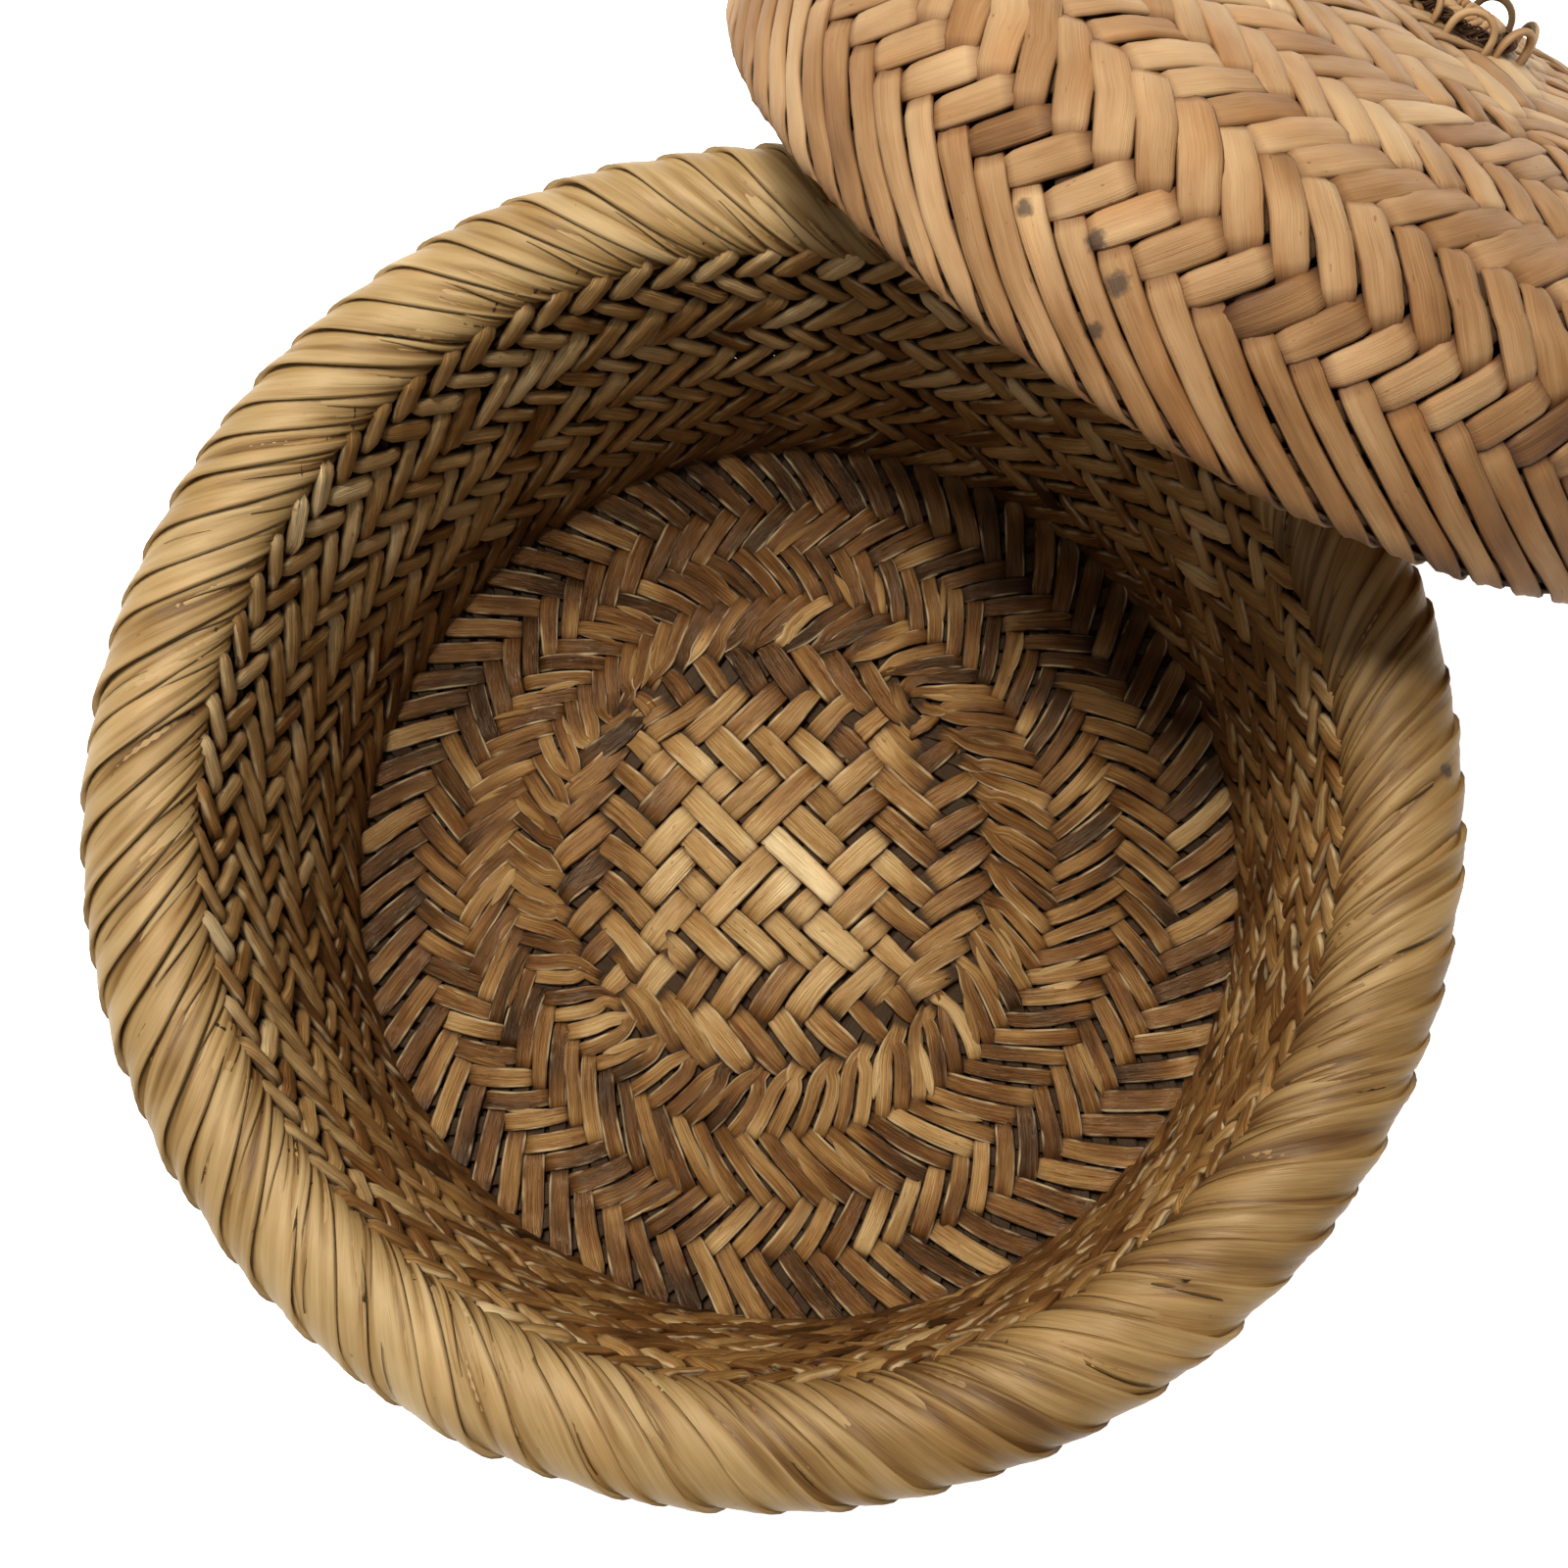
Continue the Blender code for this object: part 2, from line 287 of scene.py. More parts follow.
def weave(name, surface, top, last_row, material, body, nodes, tone, steps=4, groups=6,
          widths=((0, 5.7), (8.8, 5.3), (10.1, 3.2), (13.5, 3.2), (17.5, 3.6), (20.5, 4.1), (24, 4.6),
                  (48, 4.6)),
          thick=(1.15, 1.9), lift=(0.68, 1.0), taper=(0.06, 0.42), plump=(0.15, 1.0), rough=1.0,
          frays=0.0, edge=99, twist=0.0, place=None):
    """Both families of one skin, in a few pieces of neighbouring strips.

    Widths are (row, millimetres), and the pairs after them are (mat, wall). Past the edge row the strips
    thin out, frays is the share of strips with a sliver, and twist turns a float as it dives.
    """
    rng = np.random.default_rng(SEED + sum(map(ord, name)))
    children = (0, 1, -1) if surface.square_rows < surface.mat_rows else (0,)
    numbers = np.arange(0.5 - surface.square_rows, surface.square_rows)
    strips = np.array([(number, child) for number in numbers for child in children])
    for family in (0, 1):
        for g, group in enumerate(np.array_split(strips, groups)):
            bundle = Bundle()
            for number, child in group:
                flip = -1 if family == 0 else 1
                t, rows, path, normal = surface.track(family, number, last_row, steps, child)
                level = over_under(t, number, flip, top)
                wall = smooth((rows - surface.mat_rows + 0.5) / 2)
                last = smooth((rows - edge) / 2)
                # The panel's corners, where strips crowd and splay
                corner = np.exp(-((np.minimum(np.abs(t), abs(number)) / 2.2) ** 2)) * smooth((rows - 5) / 2)
                corner = corner * (1 - smooth((rows - 9) / 3))

                def blend(pair):
                    return pair[0] * (1 - wall) + pair[1] * wall

                half = np.interp(rows, *zip(*widths)) / 2 * MM
                half = half * (1 - blend(taper) * (1 - level)) * rng.uniform(0.92, 1.05)
                half = half * (1 + drift(rng, t, 3.0, 0.05) * rough - 0.22 * corner)
                if child:
                    half = half * (0.5 + 0.5 * smooth((rows - surface.square_rows + 0.6) / 1.0))
                deep = blend(thick) * MM * (1 + drift(rng, t, 3.0, 0.07) * rough) * (1 - 0.3 * last)
                rise = blend(lift) * MM * level * (1 - 0.5 * last) + drift(rng, t, 3.0, 0.07 * MM) * rough
                path = path + normal * rise[:, None]
                sway = drift(rng, t, 2.5, 0.24 * MM) * rough * (1 + 1.6 * corner)
                roll = drift(rng, t, 2.5, math.radians(7.5)) * rough * (1 + 0.6 * corner)
                # In the wall each float twists as it dives
                roll = roll + 0.11 * blend((0, twist)) * np.gradient(level, t)
                pale = rng.normal(0, 0.5) + drift(rng, t, 2.8, 0.9)
                shade = tone(rows, path) + 0.13 * pale
                section = strip_section(rng, t, blend(plump), 0.085 * rough)
                # Painted shade: a strip is darkened where it dives under its neighbours
                hollow_shade = smooth((0.62 - level) / 1.1)
                bundle.add(path, normal, half, deep, section, rng.uniform(), shade, hollow_shade, roll, sway)
                if rng.uniform() < frays:
                    fray(bundle, rng, t, level, rows, path, normal, shade)
            bundle.build("%s_%s%d" % (name, "ab"[family], g + 1), material, body, nodes, place)


def fray(bundle, rng, t, level, rows, path, normal, shade):
    """A sliver split off the side of one float, lying a little across it."""
    spots = np.flatnonzero((level > 0.85) & (rows > 11) & (rows < 21.5))
    if not len(spots):
        return
    middle = rng.choice(spots)
    part = slice(max(middle - 6, 0), middle + 6)
    u = np.linspace(-1, 1, len(t[part]))
    lean = rng.choice([-1, 1]) * rng.uniform(0.8, 1.5) * MM
    raised = path[part] + normal[part] * (0.42 + 0.12 * u[:, None]) * MM
    half = 0.85 * MM * np.clip(1.05 - np.abs(u) ** 3, 0.12, 1) * rng.uniform(0.7, 1.2)
    section = strip_section(rng, t[part], 0.6, 0.05)
    bundle.add(raised, normal[part], half, np.full(len(u), 0.55 * MM), section, rng.uniform(),
               shade[part] + 0.22, np.zeros(len(u)), 0.25 * u, lean * (1.2 + 0.5 * u))


# ---------------------------------------------------------------- materials

def lin(r, g, b):
    """An 8-bit display colour as the linear colour that a shader takes."""
    def one(c):
        c /= 255
        return c / 12.92 if c <= 0.04045 else ((c + 0.055) / 1.055) ** 2.4
    return one(r), one(g), one(b), 1.0


class Nodes:
    """Short calls for building a node tree."""

    def __init__(self, name):
        self.material = bpy.data.materials.new(name)
        self.material.use_nodes = True
        self.tree = self.material.node_tree
        self.shader = self.tree.nodes["Principled BSDF"]

    def set(self, socket, value):
        if hasattr(value, "is_output"):
            self.tree.links.new(value, socket)
        else:
            socket.default_value = value

    def math(self, kind, *values, clamp=False):
        node = self.tree.nodes.new("ShaderNodeMath")
        node.operation, node.use_clamp = kind, clamp
        for socket, value in zip(node.inputs, values):
            self.set(socket, value)
        return node.outputs[0]

    def add(self, a, b):
        return self.math("ADD", a, b)

    def times(self, a, b):
        return self.math("MULTIPLY", a, b)

    def attribute(self, name):
        node = self.tree.nodes.new("ShaderNodeAttribute")
        node.attribute_name = name
        split = self.tree.nodes.new("ShaderNodeSeparateXYZ")
        self.set(split.inputs[0], node.outputs["Vector"])
        return split.outputs

    def vector(self, x, y, z):
        node = self.tree.nodes.new("ShaderNodeCombineXYZ")
        for socket, value in zip(node.inputs, (x, y, z)):
            self.set(socket, value)
        return node.outputs[0]

    def noise(self, place, detail=3.0, rough=0.55, scale=1.0):
        node = self.tree.nodes.new("ShaderNodeTexNoise")
        self.set(node.inputs["Vector"], place)
        node.inputs["Scale"].default_value = scale
        node.inputs["Detail"].default_value = detail
        node.inputs["Roughness"].default_value = rough
        return node.outputs["Fac"]

    def mix(self, share, a, b, kind="MIX"):
        node = self.tree.nodes.new("ShaderNodeMix")
        node.data_type, node.blend_type = "RGBA", kind
        for socket, value in zip((node.inputs[0], node.inputs[6], node.inputs[7]), (share, a, b)):
            self.set(socket, value)
        return node.outputs[2]

    def ramp(self, value, *stops):
        node = self.tree.nodes.new("ShaderNodeValToRGB")
        self.set(node.inputs[0], value)
        band = node.color_ramp
        while len(band.elements) < len(stops):
            band.elements.new(0.5)
        for element, (at, colour) in zip(band.elements, stops):
            element.position, element.color = at, colour
        return node.outputs[0]

    def span(self, value, low, high, to_low=0.0, to_high=1.0):
        node = self.tree.nodes.new("ShaderNodeMapRange")
        for socket, given in zip(node.inputs, (value, low, high, to_low, to_high)):
            self.set(socket, given)
        return node.outputs[0]

    def near(self, spots, fray=1.1):
        """From 0 to 1 near any of some places, each (x, y, z, radius) in metres, with a ragged edge."""
        here = self.tree.nodes.new("ShaderNodeTexCoord").outputs["Object"]
        ragged = self.times(self.math("SUBTRACT", self.noise(here, 2.0, 0.6, 700.0), 0.5), fray)
        total = 0.0
        for x, y, z, radius in spots:
            node = self.tree.nodes.new("ShaderNodeVectorMath")
            node.operation = "DISTANCE"
            self.set(node.inputs[0], here)
            node.inputs[1].default_value = (x, y, z)
            share = self.add(self.math("DIVIDE", node.outputs["Value"], radius), ragged)
            total = self.math("MAXIMUM", total, self.span(share, 0.55, 1.0, 1.0, 0.0))
        return total


def straw(name, palette, edge, gloss=0.45, fibres=9.0, speck=0.70, warm=(1.0, 0.86, 0.74, 1), stains=(),
          bump_depth=0.28, streaks=0.5, patches=0.5, crease=0.5, edge_wear_and_highlight=0.0):
    """Split cane: fibres along the strip, slow patches, dark specks, painted shade at the sides and where a
    strip dives, and paler edges that are partly wear, partly a painted highlight.

    Edge is the colour that the painted shade and the specks darken towards, warm tints some floats, and
    stains are ragged dark spots.
    """
    n = Nodes(name)
    along, across, seed = n.attribute("grain")
    tone, hollow_shade, back = n.attribute("tone")
    apart = n.times(seed, 83.0)

    def grain(length, width, detail=3.0):
        return n.noise(n.vector(n.times(along, length), n.times(across, width), apart), detail)

    def centred(value, size):
        return n.times(n.math("SUBTRACT", value, 0.5), size)

    fine, finest = grain(60.0, fibres), grain(200.0, fibres * 3.0, 2.0)
    patch, spots, hue = grain(85.0, 0.8, 2.0), grain(600.0, 3.5, 1.0), grain(34.0, 0.4, 1.0)
    level = n.add(tone, centred(patch, patches))
    level = n.add(level, centred(fine, streaks))
    level = n.math("ADD", level, centred(finest, streaks * 0.5), clamp=True)
    colour = n.ramp(level, *palette)
    pale = palette[-1][1]
    colour = n.mix(n.span(hue, 0.52, 0.72, 0.0, 0.6), colour, warm, "MULTIPLY")
    side = n.math("ABSOLUTE", across)
    # Paler edges: partly wear, partly a painted highlight along the strip's edge
    wear_and_highlight = n.times(n.span(side, 0.66, 0.84), n.span(grain(140.0, 0.9, 2.0), 0.48, 0.66))
    colour = n.mix(n.times(wear_and_highlight, edge_wear_and_highlight), colour, pale)
    # Painted shade: the strip's sides and the places where it dives under are darkened towards edge
    edges = n.times(n.math("POWER", side, 8.0), crease)
    dark = n.math("ADD", edges, hollow_shade, clamp=True)
    colour = n.mix(dark, colour, edge, "MULTIPLY")
    # Painted shade: the deepest dives and the strips' backs are painted nearly black, so the gaps in the
    # weave look dark
    deep = n.math("MAXIMUM", n.span(hollow_shade, 0.55, 1.0, 0.0, 0.8), n.times(back, 0.85))
    colour = n.mix(deep, colour, (0.035, 0.019, 0.009, 1))
    colour = n.mix(n.span(spots, speck, speck + 0.06, 0.0, 0.5), colour, edge, "MULTIPLY")
    if stains:
        colour = n.mix(n.times(n.near(stains), 0.82), colour, lin(44, 34, 32))
    n.set(n.shader.inputs["Base Color"], colour)
    satin = n.span(fine, 0.3, 0.7, gloss - 0.07, gloss + 0.13)
    n.set(n.shader.inputs["Roughness"], n.add(satin, n.times(deep, 0.4)))
    bump = n.tree.nodes.new("ShaderNodeBump")
    bump.inputs["Strength"].default_value = 0.7
    bump.inputs["Distance"].default_value = bump_depth * MM
    n.set(bump.inputs["Height"], n.add(fine, n.times(finest, 0.5)))
    n.set(n.shader.inputs["Normal"], bump.outputs[0])
    n.shader.inputs["Specular IOR Level"].default_value = 0.5
    n.shader.inputs["Specular Tint"].default_value = (1.0, 0.80, 0.56, 1)
    return n.material


INNER_STOPS = [(0.0, lin(49, 28, 11)), (0.28, lin(103, 64, 28)), (0.52, lin(150, 111, 61)),
               (0.78, lin(192, 158, 106)), (1.0, lin(226, 200, 152))]
RIM_STOPS = [(0.0, lin(82, 53, 24)), (0.3, lin(124, 94, 52)), (0.55, lin(152, 124, 80)),
             (0.8, lin(172, 146, 103)), (1.0, lin(197, 175, 134))]
LID_STOPS = [(0.0, lin(78, 44, 18)), (0.3, lin(129, 91, 53)), (0.55, lin(160, 125, 86)),
             (0.8, lin(180, 149, 108)), (1.0, lin(200, 172, 132))]
FIBRE_STOPS = [(0.0, lin(34, 20, 12)), (0.5, lin(72, 44, 26)), (1.0, lin(112, 74, 46))]
BROWN = lin(96, 62, 32)
WARM_BROWN = lin(132, 80, 44)


def bowl():
    inner_cane = straw("inner_cane_straw", INNER_STOPS, BROWN, 0.34, bump_depth=0.5, streaks=0.7, crease=0.9,
                       edge_wear_and_highlight=0.8)
    knots = [(0, 0, 4.3), (7, 30.5, 4.3), (9.5, 41, 4.3), (13.5, 52, 4.3), (17.5, 63, 4.3), (20.5, 72, 4.3),
             (22.6, 80.5, 4.3), (23.2, 83.4, 4.7), (23.8, 84.9, 6.6)]
    for up, out in LEAN:
        knots.append((23.8 + 22.4 * up, 84.9 + 5.0 * out, 6.6 + 76.4 * up))
    knots += [(47.0, 91.4, 84.0), (48.0, 94.0, 84.6)]
    inner = Surface(knots, PANEL_SHIFT, lean=RIM_SHIFT, square_rows=SPLIT_ROW, mat_rows=FLOOR_ROWS)

    def floor_light_and_shade(rows, path):
        # Painted light: a pool of light in the floor's middle, painted shade round the foot of the wall,
        # lighter again up the wall
        near = np.interp(rows, [0, 5, 9, 15, 23, 27, 37, 44, 47],
                         [0.74, 0.58, 0.34, 0.28, 0.25, 0.35, 0.49, 0.56, 0.58])
        # Painted shade on the wall towards the picture's lower right and painted light opposite; on the
        # floor, painted shade towards the picture's top
        wall = 0.14 * toward(path, 300) * smooth((rows - 22) / 8)
        return near - wall - 0.07 * toward(path, 100) * (rows < FLOOR_ROWS)

    weave("bowl_inner_splints", inner, BOWL_BANDS, 47.6, inner_cane, "bowl",
          ("bowl_inner_floor", "bowl_inner_wall"), floor_light_and_shade, frays=0.3,
          twist=1.0)
    outer_cane = straw("outer_cane_straw", INNER_STOPS, BROWN, 0.48)
    knots = [(0, 0, 1.6), (7, 30.5, 1.6), (9.5, 41, 1.6), (13.5, 52.5, 1.6), (17.5, 64, 1.6), (20.5, 73, 1.6),
             (22.7, 83.0, 1.6), (23.6, 85.8, 2.8)]
    for up, out in LEAN:
        knots.append((23.6 + 21.4 * up, 85.8 + 8.0 * out, 2.8 + 72.0 * up))
    outer = Surface(knots, (PANEL_SHIFT[0] + PANEL_STEP, PANEL_SHIFT[1]), -1, RIM_SHIFT,
                    turn=VIEW_TURN + math.pi / STRIPS, square_rows=SPLIT_ROW, mat_rows=FLOOR_ROWS)
    weave("bowl_outer_splints", outer, BOWL_BANDS, 44.8, outer_cane, "bowl",
          ("bowl_outer_base", "bowl_outer_wall"),
          lambda rows, path: np.interp(rows, [0, 23, 45], [0.48, 0.46, 0.60]), steps=3, twist=1.0,
          widths=((0, 6.2), (8.6, 6.0), (10.2, 3.9), (13.5, 4.2), (17.5, 4.7), (24, 5.8), (48, 5.7)),
          taper=(0.03, 0.05))


def rim():
    """The rolled border: leaves that start at the crease, sweep out over the hoop and tuck under."""
    rng = np.random.default_rng(SEED + 2)
    spot_turn = VIEW_TURN + 0.035
    spot = Vector((101.5 * math.cos(spot_turn) * MM, 101.5 * math.sin(spot_turn) * MM, 84.5 * MM))
    rim_cane = straw("rim_cane_straw", RIM_STOPS, lin(150, 108, 60), 0.50, fibres=8.0, speck=0.76,
                     warm=(1.0, 0.88, 0.74, 1), bump_depth=0.16, streaks=0.36, patches=0.34, crease=0.20,
                     stains=[(*spot, 1.7 * MM)])
    pitch = 2 * math.pi / STRIPS
    u = np.linspace(0, 1, LEAF_STEPS)
    v = np.linspace(-1, 1, 13)
    arch = (1 - np.abs(v) ** 3) * 0.5
    back = np.array([[0.7, -0.3], [-0.7, -0.3]])
    for g in range(8):
        bundle = Bundle()
        for k in range(10):
            for layer in range(2):
                start = pitch * (10 * g + k + 0.5 + 0.5 * layer + rng.normal(0, 0.06)) + VIEW_TURN
                a = np.radians(ROLL_START - ROLL_TURN * u)
                sunk = 1.2 * (1 - smooth(u / 0.07)) + layer * 1.0 * smooth((u - 0.15) / 0.35)
                puff = (0.10 * math.sin(3 * k + g) + rng.uniform(-0.15, 0.25)) * smooth(u / 0.3)
                out = (puff - sunk) * MM
                r = ROLL_CENTRE[0] + (ROLL_WIDE + out) * np.cos(a)
                z = ROLL_CENTRE[1] + (ROLL_HIGH + out) * np.sin(a)
                sweep = math.radians(LEAF_SWEEP + rng.normal(0, 0.5)) * (1 - (1 - u) ** 1.5)
                theta = start + sweep
                c, s = math.cos(VIEW_TURN), math.sin(VIEW_TURN)
                lean = np.array([RIM_SHIFT[0] * c - RIM_SHIFT[1] * s, RIM_SHIFT[0] * s + RIM_SHIFT[1] * c])
                path = np.stack([r * np.cos(theta) + lean[0], r * np.sin(theta) + lean[1], z], 1)
                tilt_r, tilt_z = np.cos(a) / ROLL_WIDE, np.sin(a) / ROLL_HIGH
                size = np.hypot(tilt_r, tilt_z)
                tilt_r, tilt_z = tilt_r / size, tilt_z / size
                normal = np.stack([tilt_r * np.cos(theta), tilt_r * np.sin(theta), tilt_z], 1)
                grown = smooth((u - 0.05) / 0.4)
                half = (2.6 + (2.4 - 2.6 * layer) * grown) * MM * rng.uniform(0.94, 1.08)
                # Creases run out from the crease line and fade; one or two go all the way
                flat = (smooth((u - 0.08) / 0.2) * (1 - smooth((u - 0.42) / 0.16)))[:, None]
                h = arch[None] * (1.0 - 0.6 * flat)
                dip = np.zeros((LEAF_STEPS, len(v)))
                for groove in range(5):
                    at, wide = rng.uniform(-0.85, 0.85), rng.uniform(0.07, 0.14)
                    far = rng.uniform(0.3, 0.75) if groove < 4 else 1.2
                    depth = rng.uniform(0.16, 0.48) * (1 if groove < 4 else 0.4)
                    fade = 1 - smooth((u - far * 0.5) / (far * 0.5))
                    dip += depth * fade[:, None] * np.exp(-(((v - at) / wide) ** 2))[None]
                lap = (0.30 - 0.08 * flat) * v[None]
                section = np.stack([np.repeat(v[None], LEAF_STEPS, 0), h - dip + lap], -1)
                section = np.concatenate([section, np.repeat(back[None], LEAF_STEPS, 0)], 1)[:, ::-1]
                shade = 0.60 + 0.07 * (rng.normal(0, 0.7) + drift(rng, u * 8, 2.5, 0.8))
                # Painted shade on the picture's right, where the lid shades the rim; the leaves are also
                # darker near the crease
                shade = shade - 0.24 * smooth(toward(path, 345) + 0.3) - 0.16 * (1 - smooth(u / 0.22))
                # Painted shade in the grooves of each leaf
                shade = shade[:, None] - 1.2 * np.pad(dip, ((0, 0), (0, 2)))[:, ::-1]
                # Painted shade at the crease and where the leaf tucks under the roll
                hollow_shade = 0.35 * (1 - smooth(u / 0.10)) + 0.25 * smooth((u - 0.75) / 0.2)
                deep = (1.1 + 0.5 * grown) * MM
                bundle.add(path, normal, half, deep, section, rng.uniform(), shade, hollow_shade, back=-9)
        bundle.build("bowl_rim_splints_%d" % (g + 1), rim_cane, "bowl", ("bowl_rim_border",))


def lid_place():
    return Matrix.Translation(LID_CENTRE) @ Matrix.Rotation(-LID_TILT, 4, "X")


def lid():
    lid_cane = straw("lid_cane_straw", LID_STOPS, WARM_BROWN, 0.60, speck=0.74, warm=(1.0, 0.81, 0.62, 1),
                     bump_depth=0.2, streaks=0.3, patches=0.42,
                     stains=[(*(lid_place() @ Vector((x * MM, y * MM, z * MM))), r * MM) for x, y, z, r in
                             ((-15.6, -89.4, 16.5, 1.4), (-5.4, -90.0, 18.0, 1.7), (0.2, -91.0, 15.3, 1.9),
                              (0.8, -92.5, 8.9, 1.6))])
    dome = []
    for row, r in ((0, 0), (5, 21), (10, 42), (14, 58), (17, 70), (19, 78)):
        dome.append((row, r, 28.0 + 15.6 * math.sqrt(max(1 - (r / 84.0) ** 2, 0))))
    knots = dome + [(20.4, 83.0, 30.5), (21.6, 86.4, 25.5), (24, 89.8, 16.0), (26, 91.6, 9.0),
                    (28, 92.8, 2.8), (28.7, 91.9, 0.9), (29.4, 89.0, 0.9), (30.2, 87.6, 3.2), (31, 87.3, 6.2)]
    outer = Surface(knots, hurry=(23.5, 0.40), turn=LID_TURN)

    def lid_tone_and_shade(rows, path):
        """Darker towards the edge, with painted shade on the side that faces the bowl's right."""
        # Painted shade: the side towards the picture's lower right, away from the light, is darkened
        low = toward(path, 350 - 36)
        return (np.interp(rows, [0, 14, 20, 28, 31], [0.62, 0.56, 0.52, 0.47, 0.38])
                - 0.22 * smooth(low) * smooth((rows - 6) / 14))

    weave("lid_outer_splints", outer, LID_BANDS, 31.0, lid_cane, "lid",
          ("lid_outer_crown", "lid_outer_skirt", "lid_rim_border"),
          lid_tone_and_shade,
          widths=((0, 5.9), (8, 5.8), (14, 5.7), (20, 5.7), (23, 5.3), (25, 4.1), (28, 3.6), (31, 3.5)),
          thick=(1.45, 1.45), lift=(0.72, 0.76), taper=(0.07, 0.12), plump=(0.6, 0.6), rough=0.75, edge=26,
          place=lid_place())
    under_cane = straw("lid_inner_cane_straw", INNER_STOPS, BROWN, 0.5)
    knots = [(row, r * 0.955, z - 3.2) for row, r, z in dome] + [
        (20.4, 79.6, 26.5), (22, 82.6, 21.5), (24, 84.6, 15.5), (26, 86.2, 9.5), (27.5, 87.2, 5.0)]
    inner = Surface(knots, (PANEL_STEP, 0), -1, turn=LID_TURN + math.pi / STRIPS)
    weave("lid_inner_splints", inner, LID_BANDS, 27.4, under_cane, "lid",
          ("lid_inner_crown", "lid_inner_skirt"),
          lambda rows, path: np.full(len(rows), 0.5), thick=(1.0, 1.0), lift=(0.5, 0.5),
          steps=3, groups=4, place=lid_place(),
          widths=((0, 6.0), (14, 6.2), (20, 6.0), (28, 5.6)), taper=(0.03, 0.08))


def rounded(count=8):
    a = np.linspace(0, 2 * math.pi, count, endpoint=False)
    return np.stack([np.cos(a), np.sin(a)], 1)[None]


def circle(radius, height, count, wave=0.0, turns=0, phase=0.0):
    """A closed ring, or a strand that winds round one as turns of a rope."""
    a = np.linspace(0, 2 * math.pi, count)
    r = radius + wave * np.cos(turns * a + phase)
    return np.stack([r * np.cos(a), r * np.sin(a), height + wave * np.sin(turns * a + phase)], 1), a


def hoops():
    """The round canes inside both borders."""
    rng = np.random.default_rng(SEED + 3)
    cane = straw("hoop_cane_straw", INNER_STOPS, BROWN, 0.5)
    for name, body, r, z, thick, tall, place in (("bowl_rim_hoop", "bowl", 98.5, 80.2, 3.3, 1.0, None),
                                                 ("lid_rim_hoop", "lid", 90.3, 3.6, 0.9, 2.8, lid_place())):
        path, a = circle(r * MM, z * MM, 160)
        size = thick * MM * (1 + drift(rng, a * 8, 2.0, 0.03))
        bundle = Bundle()
        bundle.add(path, np.repeat([[0.0, 0.0, 1.0]], 160, 0), size, size * tall, rounded(), 0.3,
                   0.4 + drift(rng, a * 9, 2.0, 0.06), np.zeros(160))
        bundle.build(name + "_cane", cane, body, (name,), place)


def knob():
    """A coil and a ring of small loops round the lid's top, tied down with dark fibre."""
    rng = np.random.default_rng(SEED + 4)
    cane = straw("knob_cane_straw", LID_STOPS, WARM_BROWN, 0.55, bump_depth=0.1)
    dark = straw("dark_fibre_straw", FIBRE_STOPS, BROWN, 0.6, bump_depth=0.1)
    place = lid_place() @ Matrix.Translation(KNOB_AT)
    up = np.array([[0.0, 0.0, 1.0]])
    bundle = Bundle()
    for strand in range(3):
        path, a = circle(4.8 * MM, KNOB_BASE + 1.2 * MM, 90, 0.62 * MM, 8, strand * 2.094)
        size = 0.74 * MM * (1 + drift(rng, a * 10, 2.0, 0.06))
        bundle.add(path, np.repeat(up, 90, 0), size, size, rounded(6), rng.uniform(),
                   0.5 + drift(rng, a * 8, 2.0, 0.08), np.zeros(90))
    bundle.build("knob_coil_strands", cane, "lid", ("knob_base_coil",), place)
    bundle = Bundle()
    for strand in range(16):
        path, a = circle((7.6 + rng.normal(0, 0.25)) * MM, KNOB_BASE + rng.uniform(0.3, 1.0) * MM, 150,
                         rng.uniform(0.4, 0.8) * MM, rng.integers(6, 18), rng.uniform(0, 6.28))
        size = rng.uniform(0.10, 0.20) * MM * np.ones(150)
        bundle.add(path, np.repeat(up, 150, 0), size, size, rounded(4), rng.uniform(),
                   0.45 + drift(rng, a * 8, 2.0, 0.15), np.zeros(150))
    bundle.build("knob_lashing_fibres", dark, "lid", ("knob_lashing",), place)
    for k in range(LOOPS):
        turn = 2 * math.pi * (k + 0.5) / LOOPS + rng.normal(0, 0.03)
        out = np.array([math.cos(turn), math.sin(turn), 0])
        along = np.array([-math.sin(turn), math.cos(turn), 0])
        b = np.linspace(-0.35, math.pi + 0.35, 22)
        high = np.sign(np.sin(b)) * np.abs(np.sin(b)) ** 0.8 * rng.uniform(3.8, 4.3) * MM
        path = (out * LOOP_RING_R + along * (3.6 * MM * np.cos(b) * rng.uniform(0.95, 1.05))[:, None]
                + np.array([0, 0, KNOB_BASE]) + np.array([0, 0, 1]) * high[:, None]
                + out * (rng.normal(0, 0.3) * MM * np.sin(b))[:, None])
        size = 0.62 * MM * (1 + drift(rng, b * 3, 2.0, 0.06))
        bundle = Bundle()
        # Painted shade on each loop's legs, low down where they meet the lid
        bundle.add(path, np.repeat(out[None], 22, 0), size, size, rounded(), rng.uniform(),
                   0.66 + drift(rng, b * 2, 2.0, 0.1), 0.4 * smooth((0.2 - np.sin(b)) / 0.4))
        node = "knob_loop_%02d" % (k + 1)
        bundle.build(node + "_strand", cane, "lid", (node,), place)


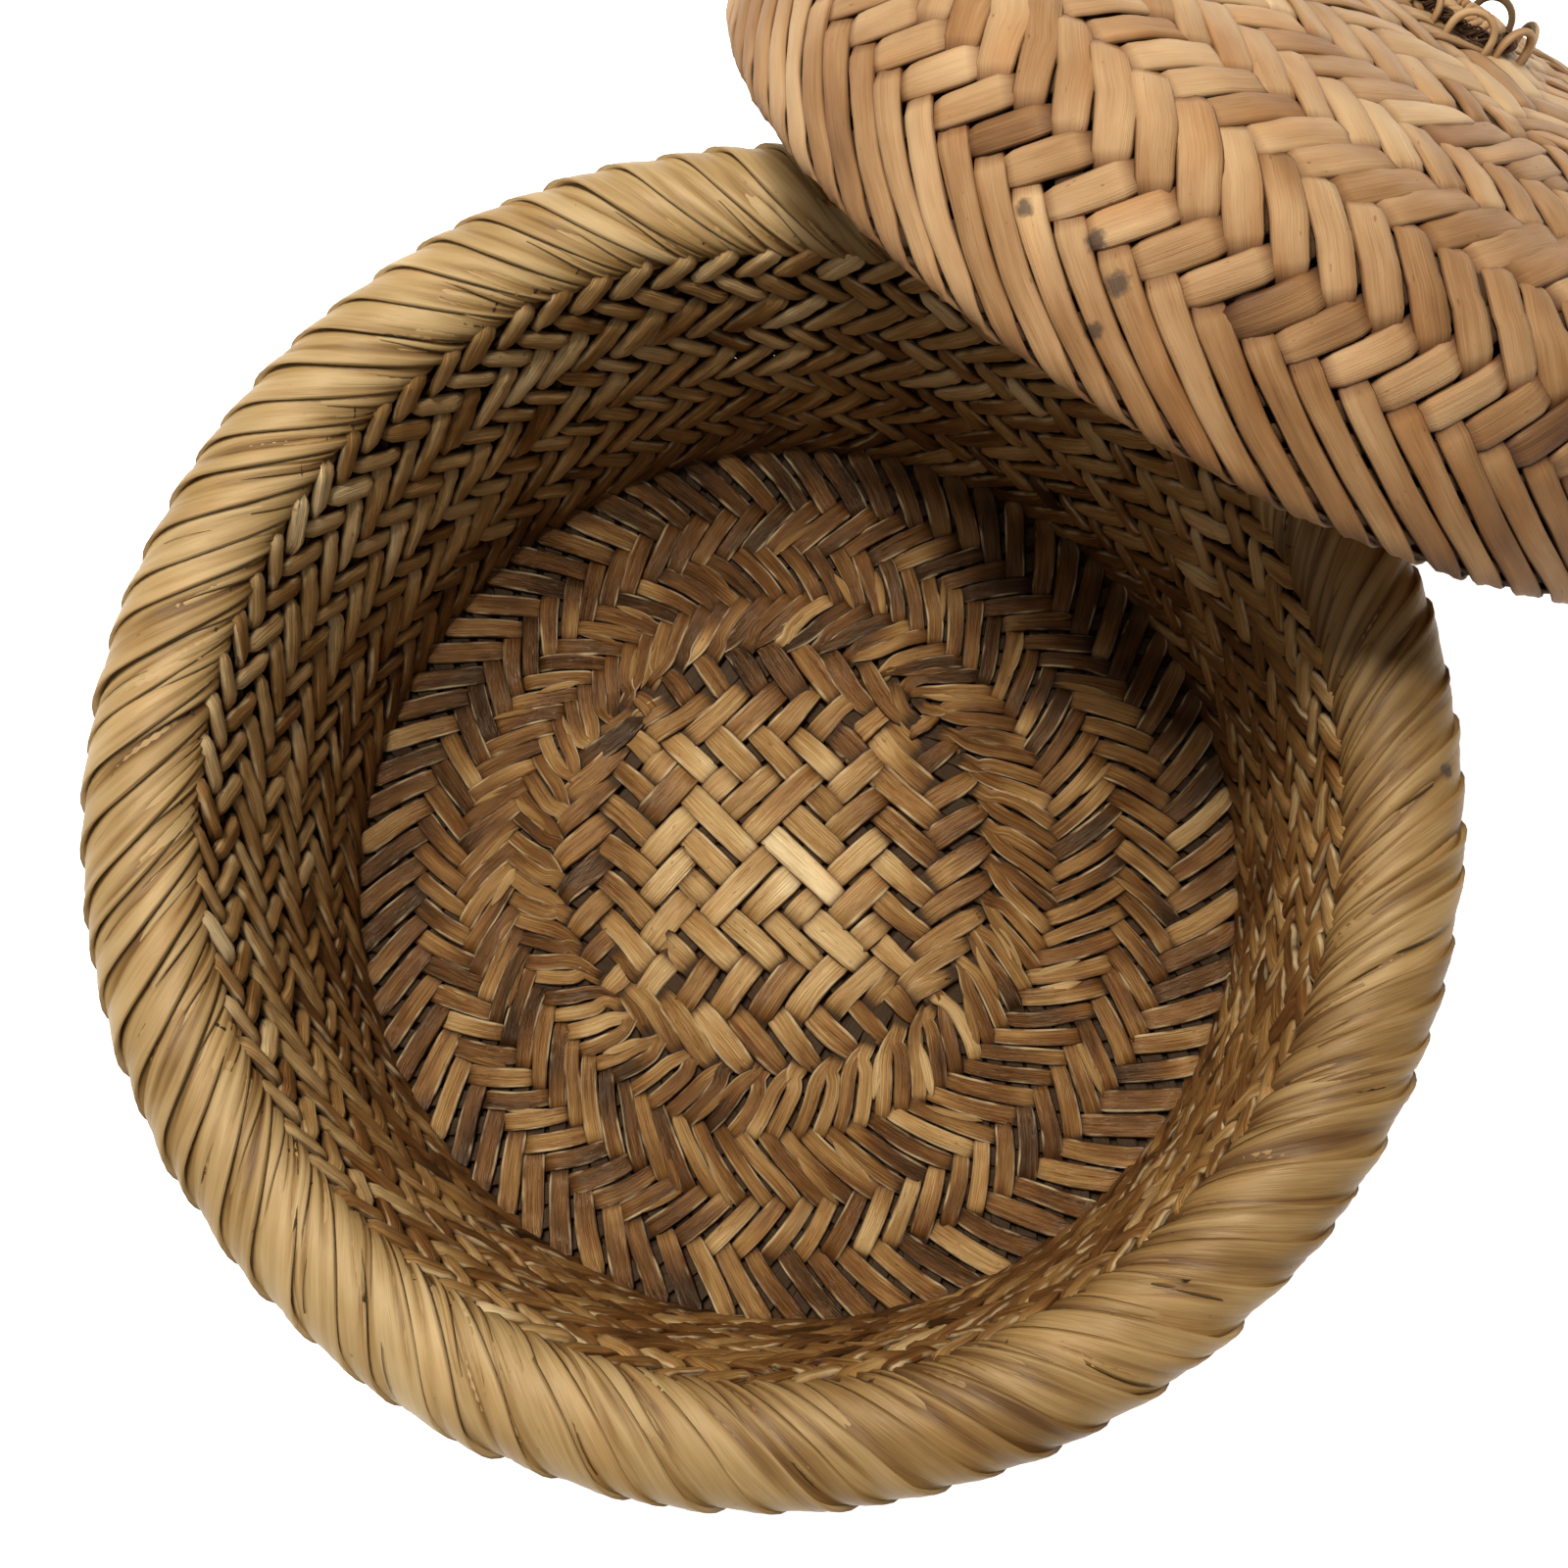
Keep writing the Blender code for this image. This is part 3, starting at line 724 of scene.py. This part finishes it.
def stage():
    mesh = bpy.data.meshes.new("floor")
    s, z = 3.0, -0.0006
    mesh.from_pydata([(-s, -s, z), (s, -s, z), (s, s, z), (-s, s, z)], [], [(0, 1, 2, 3)])
    n = Nodes("floor_white")
    n.shader.inputs["Base Color"].default_value = (0.9, 0.9, 0.9, 1)
    n.shader.inputs["Roughness"].default_value = 0.95
    n.shader.inputs["Specular IOR Level"].default_value = 0.1
    n.shader.inputs["Emission Color"].default_value = (1, 1, 1, 1)
    n.shader.inputs["Emission Strength"].default_value = 0.9
    mesh.materials.append(n.material)
    floor = bpy.data.objects.new("floor", mesh)
    bpy.context.scene.collection.objects.link(floor)


def light(name, azimuth, height, distance, size, power, target=(0, 0.03, 0.05), colour=(1, 1, 1)):
    """An area lamp at a picture azimuth and a height in degrees, aimed at the basket."""
    lamp = bpy.data.lights.new(name, "AREA")
    lamp.shape, lamp.size, lamp.energy, lamp.color = "DISK", size, power, colour
    made = bpy.data.objects.new(name, lamp)
    a, h = math.radians(azimuth) + VIEW_TURN, math.radians(height)
    aim = Vector((math.cos(a) * math.cos(h), math.sin(a) * math.cos(h), math.sin(h)))
    made.location = Vector(target) + aim * distance
    made.rotation_euler = aim.to_track_quat("Z", "Y").to_euler()
    bpy.context.scene.collection.objects.link(made)


def studio():
    world = bpy.data.worlds.new("studio")
    world.use_nodes = True
    world.node_tree.nodes["Background"].inputs[0].default_value = (1, 1, 1, 1)
    world.node_tree.nodes["Background"].inputs[1].default_value = 0.32
    bpy.context.scene.world = world
    light("key", 122, 66, 1.0, 0.30, 7.8, colour=(1.0, 0.98, 0.945))
    light("glow", 110, 81, 0.9, 0.11, 4.4, target=(-0.004, 0.0, 0.01), colour=(1.0, 0.975, 0.93))
    bpy.context.scene.view_settings.view_transform = "Standard"


def camera():
    """Nearly straight down, tilted a little, from about 0.39 m above the table."""
    lens = bpy.data.cameras.new("camera")
    lens.sensor_width, lens.lens = 36.0, 46.89
    lens.clip_start = 0.01
    made = bpy.data.objects.new("camera", lens)
    tilt, azimuth = math.radians(11.0), math.radians(-73.3)
    axis = Vector((-math.sin(azimuth), math.cos(azimuth), 0))
    made.matrix_world = (Matrix.Translation((0.0481, -0.0331, 0.3905))
                         @ Matrix.Rotation(VIEW_TURN, 4, "Z") @ Matrix.Rotation(tilt, 4, axis))
    bpy.context.scene.collection.objects.link(made)
    bpy.context.scene.camera = made


camera()
bowl()
rim()
lid()
hoops()
knob()
stage()
studio()
